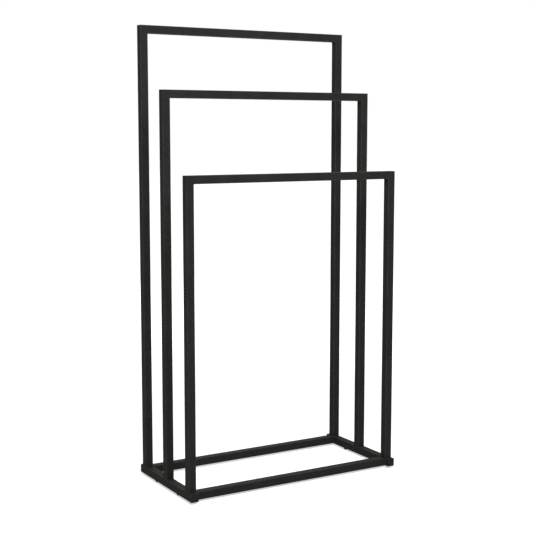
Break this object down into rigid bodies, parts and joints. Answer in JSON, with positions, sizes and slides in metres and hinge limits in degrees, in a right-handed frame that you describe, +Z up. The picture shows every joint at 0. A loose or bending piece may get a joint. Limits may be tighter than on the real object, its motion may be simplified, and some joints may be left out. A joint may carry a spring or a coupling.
{
  "type": "freestanding towel stand",
  "caption": "Freestanding towel stand of black square steel tube: upside-down U frames of rising height, one behind another, screwed onto a flat welded base with small feet",
  "frame": {"origin": "on the floor, under the middle of the stand", "axes": "+X to the right, +Y to the rear (the tallest frame is the rear one), +Z up"},
  "size_m": [0.45, 0.22, 0.86],
  "materials": {
    "powder_coated_steel": "fine-textured black powder coat, satin",
    "cap_plastic": "moulded black plastic, finely textured",
    "foot_plastic": "moulded black plastic, smooth",
    "zinc_plated_steel": "turned steel, zinc plated",
    "blackened_steel": "black oxide, slightly oily"
  },
  "bodies": {
    "root": {"base_runner_left": "powder_coated_steel", "base_runner_right": "powder_coated_steel", "base_rail_front": "powder_coated_steel", "base_rail_rear": "powder_coated_steel", "towel_bar_front": "powder_coated_steel", "post_front_left": "powder_coated_steel", "post_front_right": "powder_coated_steel", "towel_bar_middle": "powder_coated_steel", "post_middle_left": "powder_coated_steel", "post_middle_right": "powder_coated_steel", "towel_bar_rear": "powder_coated_steel", "post_rear_left": "powder_coated_steel", "post_rear_right": "powder_coated_steel", "end_cap_left_front": "cap_plastic", "foot_left_front": "foot_plastic", "end_cap_left_rear": "cap_plastic", "foot_left_rear": "foot_plastic", "end_cap_right_front": "cap_plastic", "foot_right_front": "foot_plastic", "end_cap_right_rear": "cap_plastic", "foot_right_rear": "foot_plastic", "post_insert_front_left": "zinc_plated_steel", "post_screw_front_left": "blackened_steel", "post_insert_front_right": "zinc_plated_steel", "post_screw_front_right": "blackened_steel", "post_insert_middle_left": "zinc_plated_steel", "post_screw_middle_left": "blackened_steel", "post_insert_middle_right": "zinc_plated_steel", "post_screw_middle_right": "blackened_steel", "post_insert_rear_left": "zinc_plated_steel", "post_screw_rear_left": "blackened_steel", "post_insert_rear_right": "zinc_plated_steel", "post_screw_rear_right": "blackened_steel"}
  },
  "joints": []
}
